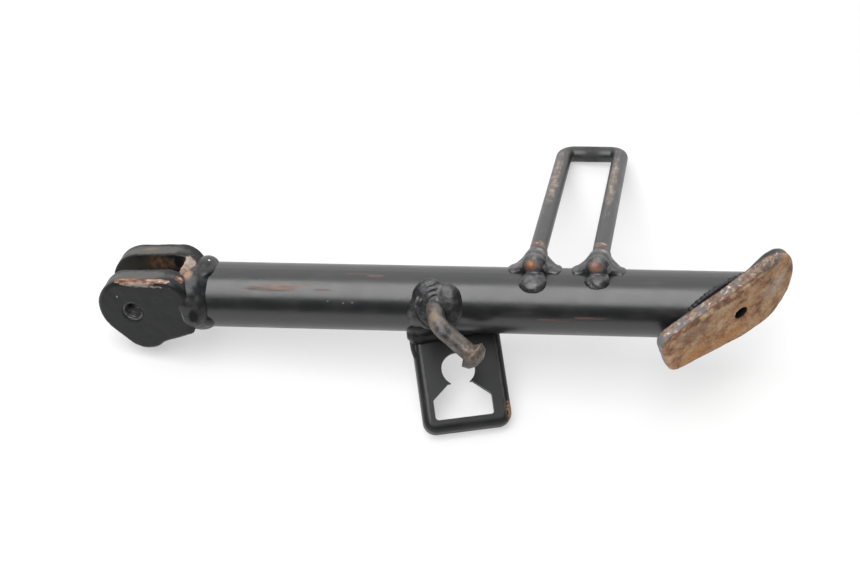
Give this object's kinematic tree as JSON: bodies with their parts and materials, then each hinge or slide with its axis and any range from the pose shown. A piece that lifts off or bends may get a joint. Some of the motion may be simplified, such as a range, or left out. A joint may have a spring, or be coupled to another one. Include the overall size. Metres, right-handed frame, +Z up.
{
  "type": "motorcycle side stand",
  "caption": "Welded motorcycle side stand: a forged pivot fork, a tube leg, a foot plate, a foot loop, a keyhole stop bracket and a spring hook, lying at rest.",
  "frame": {"origin": "middle of the plain pivot bore in the fork's far cheek, on the pivot axis", "axes": "the stand lies on a level floor: +Z up, +X level along the leg from pivot to foot, +Y from the stop bracket's side to the foot loop's side; the floor is 18.5 mm below the origin"},
  "size_m": [0.2643, 0.157, 0.0633],
  "materials": {
    "black_paint": "semi-gloss black paint, worn and chipped",
    "painted_weld": "semi-gloss black paint over rippled weld",
    "worn_steel": "bare, worn and stained",
    "rusted_steel": "rusted and scuffed, paint gone"
  },
  "bodies": {
    "root": {"pivot_fork": "black_paint", "leg_tube": "black_paint", "foot_plate": "rusted_steel", "foot_loop": "black_paint", "stop_bracket": "black_paint", "spring_hook": "worn_steel", "weld_fork": "painted_weld", "weld_loop_left": "painted_weld", "weld_loop_right": "painted_weld", "weld_hook": "painted_weld", "weld_bracket": "painted_weld", "weld_foot": "painted_weld"}
  },
  "joints": []
}
